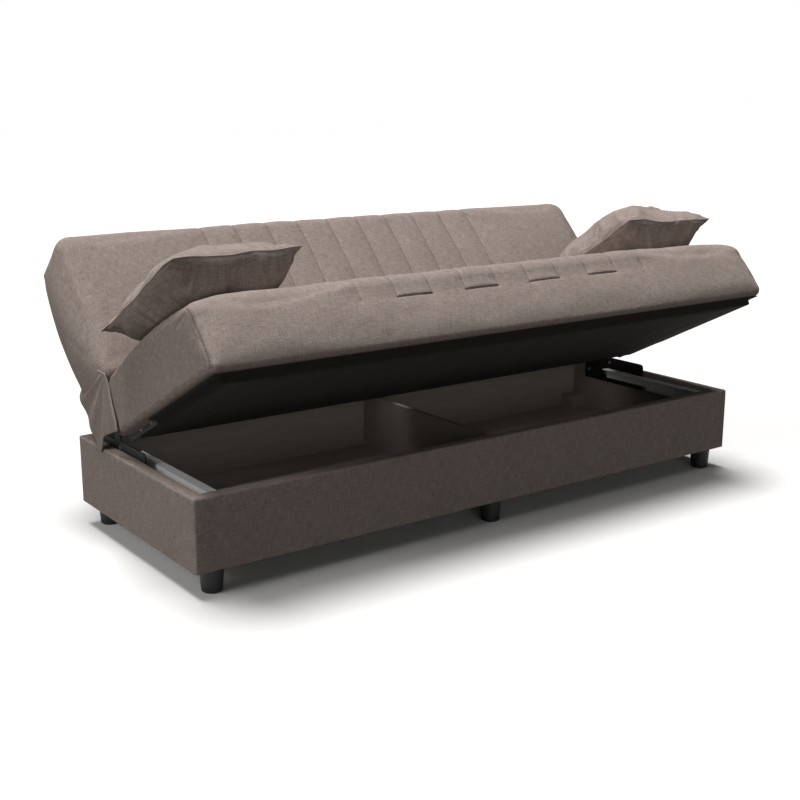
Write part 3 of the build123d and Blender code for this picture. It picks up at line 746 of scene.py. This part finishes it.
flap = {"levels": [(60, -20, 40), (37, -39, 90), (-16, -66, 150), (-31, -75, 153), (-54, -88, 138), (-80, -96, 117),
                   (-88, -68, 108), (-96, -45, 100), (-105, -23, 90), (-116, -2, 80), (-134, 10, 63), (-165, 28, 52)],
        "apex": (-17 * mm, 60 * mm), "folds": 3, "fold": 7 * mm, "fan": 80, "hang": 120 * mm,
        "thick": 1.8 * mm, "tucked": 9 * mm, "tuckFrom": -40 * mm, "tuckOver": 70 * mm, "rows": 60, "columns": 36}


def makeFlap(side, sign):
    low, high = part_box(f"flap_{side}")
    deselectAll()
    bpy.ops.mesh.primitive_grid_add(x_subdivisions=flap["columns"], y_subdivisions=flap["rows"], size=1)
    piece = bpy.context.object
    levels = np.array(flap["levels"]) * mm
    points = getPoints(piece)
    across, down = points[:, 0] + 0.5, points[:, 1] + 0.5
    height = levels[-1, 0] + down * (levels[0, 0] - levels[-1, 0])
    front = np.interp(height, levels[::-1, 0], levels[::-1, 1])
    rear = np.interp(height, levels[::-1, 0], levels[::-1, 2])
    # the folds fan out from the corner by which the cloth hangs
    along, below = front + across * (rear - front) - flap["apex"][0], flap["apex"][1] - height
    fan = np.arctan2(along, below + 5 * mm) / math.radians(flap["fan"])
    hang = np.clip(np.hypot(along, below) / flap["hang"], 0, 1)
    fold = flap["fold"] * hang * (0.5 + 0.5 * np.sin(2 * math.pi * flap["folds"] * fan + 1))
    inner = min(abs(low.x), abs(high.x)) + flap["thick"]
    tucked = flap["tucked"] * np.clip((height - flap["tuckFrom"]) / flap["tuckOver"], 0, 1) * across ** 2
    points[:, 0] = sign * (inner + fold - tucked)
    points[:, 1] = hinge.y + front + across * (rear - front)
    points[:, 2] = hinge.z + height
    setPoints(piece, points)
    size = (levels[:, 2] - levels[:, 1]).max(), levels[0, 0] - levels[-1, 0]
    for loop in piece.data.uv_layers.active.data:
        loop.uv = (loop.uv[0] * size[0], loop.uv[1] * size[1])
    bpy.ops.object.mode_set(mode="EDIT")
    bpy.ops.mesh.select_all(action="SELECT")
    bpy.ops.mesh.normals_make_consistent(inside=False)
    bpy.ops.object.mode_set(mode="OBJECT")
    thicken = piece.modifiers.new("Solidify", "SOLIDIFY")
    thicken.thickness = flap["thick"]
    bpy.ops.object.modifier_apply(modifier="Solidify")
    bpy.ops.object.shade_smooth()
    finishPiece(piece, f"endFlap{side.capitalize()}", None, "taupe_cloth", linen, f"flap_{side}")
    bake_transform(piece)


for side, sign in (("left", -1), ("right", 1)):
    makeFlap(side, sign)
print("flaps made")


# black lining stapled under the seat, sagging a little, and the strip under the backrest

lining = {"sag": 10 * mm, "thick": 1.5 * mm, "pleat": 1.2 * mm, "pleats": (19 * mm, 47 * mm), "overArm": 8 * mm,
          "hemEnds": 32 * mm, "hemFront": 22 * mm, "hemBelow": 2.5 * mm, "wideFrom": -185 * mm, "wideOver": 20 * mm}


def makeLining(node, name, body, tilt, sag, steps, pad=None):
    # pad is the level of the cushion under which the cloth goes on, as a hem, at the ends and the front
    low, high = levelBox(node, tilt)
    hem = pad is not None
    reach = [high[0], low[1], high[1]]
    if hem:
        reach = [high[0] + lining["hemEnds"], low[1] - lining["hemFront"], high[1]]
    deselectAll()
    bpy.ops.mesh.primitive_grid_add(x_subdivisions=steps[0], y_subdivisions=steps[1], size=1)
    piece = bpy.context.object
    columns = np.linspace(-high[0], high[0], steps[0] + 1)
    rows = np.linspace(low[1], high[1], steps[1] + 1)
    if hem:
        columns[2:-2] = np.linspace(-high[0], high[0], steps[0] - 3)
        columns[[0, 1, -2, -1]] = -reach[0], -high[0] - 2 * mm, high[0] + 2 * mm, reach[0]
        rows[2:] = np.linspace(low[1], high[1], steps[1] - 1)
        rows[:2] = reach[1], low[1] - 2 * mm
    x, along = [g.ravel() for g in np.meshgrid(columns, rows)]
    u, v = np.clip(x / high[0] / 2 + 0.5, 0, 1), np.clip((along - low[1]) / (high[1] - low[1]), 0, 1)
    belly = (1 - (2 * u - 1) ** 8) * (4 * v * (1 - v)) ** 0.6
    pleat = lining["pleat"] * np.sin(x / lining["pleats"][0]) * np.sin(x / lining["pleats"][1] + 1) * belly
    up = high[2] - lining["thick"] - sag * belly - pleat
    if hem:
        outside = (np.abs(x) > high[0] + mm) | (along < low[1] - mm)
        up = np.where(outside, pad - lining["hemBelow"], up)
        # the cloth is wide enough to hide the arm, but close to the frame beside the hinge
        wide = np.clip((lining["wideFrom"] - along) / lining["wideOver"], 0, 1)
        spread = np.where(np.abs(x) > high[0] - 3 * mm, lining["overArm"] * wide, 0)
        past = np.abs(x) - high[0]
        x = np.sign(x) * (high[0] + np.where(past > 3 * mm, past * wide + mm * (1 - wide), past)
                          + np.where(past > 3 * mm, 0, spread))
    setPoints(piece, toWorld(np.stack([x, along, up], 1), tilt))
    width, depth = 2 * reach[0], reach[2] - reach[1]
    for loop in piece.data.uv_layers.active.data:
        loop.uv = (loop.uv[0] * width, loop.uv[1] * depth)
    thicken = piece.modifiers.new("Solidify", "SOLIDIFY")
    thicken.thickness = lining["thick"]
    thicken.offset = 1
    bpy.ops.object.modifier_apply(modifier="Solidify")
    bpy.ops.object.shade_smooth()
    finishPiece(piece, name, body, "black_lining", finishes["black_lining"], node)


padLevel = levelBox("seat_cushion", seatTilt)[0][2]
makeLining("seat_lining", "seatLining", "seat", seatTilt, lining["sag"], (150, 40), padLevel)
makeLining("back_lining", "backLining", "backrest", backTilt, 0, (60, 4))
for name in ("seat_front_rail", "seat_rear_rail", "seat_left_rail", "seat_right_rail"):
    # the lining is turned up over the rails
    frame["nodes"][name].data.materials[0] = finishes["black_lining"]
for name in ("block_front_left", "block_front_right", "block_rear_left", "block_rear_right"):
    # the corner blocks take the board's darker finish in place of pine: painted shade, as they stand in the dark of
    # the box
    frame["nodes"][name].data.materials[0] = finishes["dark_board"]
print("linings made")


# studio: pale floor, a wide lamp overhead, a weaker one from the left and a low one in front

# each lamp: strength, width of the source in degrees, and where it shines from
studio = {"floor": "EFEEEC", "bounce": "3E3B39", "world": 0.04, "lamps": {
    "keyLamp": (3.5, 26, (-0.02, 0.15, 1.0)), "sideLamp": (1.15, 30, (-0.8, 0.0, 0.55)),
    "fillLamp": (0.44, 30, (-0.3, -0.9, 0.16))}}


def makeStudio():
    deselectAll()
    bpy.ops.mesh.primitive_plane_add(size=60, location=(0, 0, 0))
    floor = bpy.context.object
    floor.name = "studioFloor"
    material, tree = newMaterial("paleStudioFloor")
    path = addNode(tree, "ShaderNodeLightPath")
    seen = addNode(tree, "ShaderNodeMath", links={0: path.outputs["Is Camera Ray"], 1: path.outputs["Is Glossy Ray"]},
                   operation="MAXIMUM")
    seen = addNode(tree, "ShaderNodeMath", links={0: seen.outputs[0], 1: path.outputs["Is Transmission Ray"]},
                   operation="MAXIMUM")
    pale = addNode(tree, "ShaderNodeBsdfDiffuse", {"Color": hexColour(studio["floor"])})
    dim = addNode(tree, "ShaderNodeBsdfDiffuse", {"Color": hexColour(studio["bounce"])})
    both = addNode(tree, "ShaderNodeMixShader", links={0: seen.outputs[0], 1: dim.outputs[0], 2: pale.outputs[0]})
    addNode(tree, "ShaderNodeOutputMaterial", links={"Surface": both.outputs[0]})
    floor.data.materials.append(material)
    world = bpy.data.worlds.new("studioWorld")
    bpy.context.scene.world = world
    world.use_nodes = True
    tree = world.node_tree
    tree.nodes.clear()
    path = addNode(tree, "ShaderNodeLightPath")
    strength = addNode(tree, "ShaderNodeMapRange", {"To Min": studio["world"], "To Max": 1.0},
                       {"Value": path.outputs["Is Camera Ray"]})
    glow = addNode(tree, "ShaderNodeBackground", {"Color": (1, 1, 1, 1)}, {"Strength": strength.outputs["Result"]})
    addNode(tree, "ShaderNodeOutputWorld", links={"Surface": glow.outputs[0]})
    for name, (energy, soft, source) in studio["lamps"].items():
        bpy.ops.object.light_add(type="SUN", location=Vector(source) * 4)
        lamp = bpy.context.object
        lamp.name = name
        lamp.data.energy = energy
        lamp.data.angle = math.radians(soft)
        lamp.rotation_euler = (-Vector(source)).to_track_quat("-Z", "Y").to_euler()


makeStudio()
view = {"place": (-2.195, -2.9581, 1.192), "pitch": 13.93, "yaw": 35.93, "lens": 56.16}
bpy.ops.object.camera_add(location=view["place"])
camera = bpy.context.object
camera.rotation_euler = Euler((math.radians(90 - view["pitch"]), 0, math.radians(-view["yaw"])))
camera.data.lens = view["lens"]
camera.data.sensor_width = 36
bpy.context.scene.camera = camera
bpy.context.scene.view_settings.view_transform = "Standard"
print("studio made")
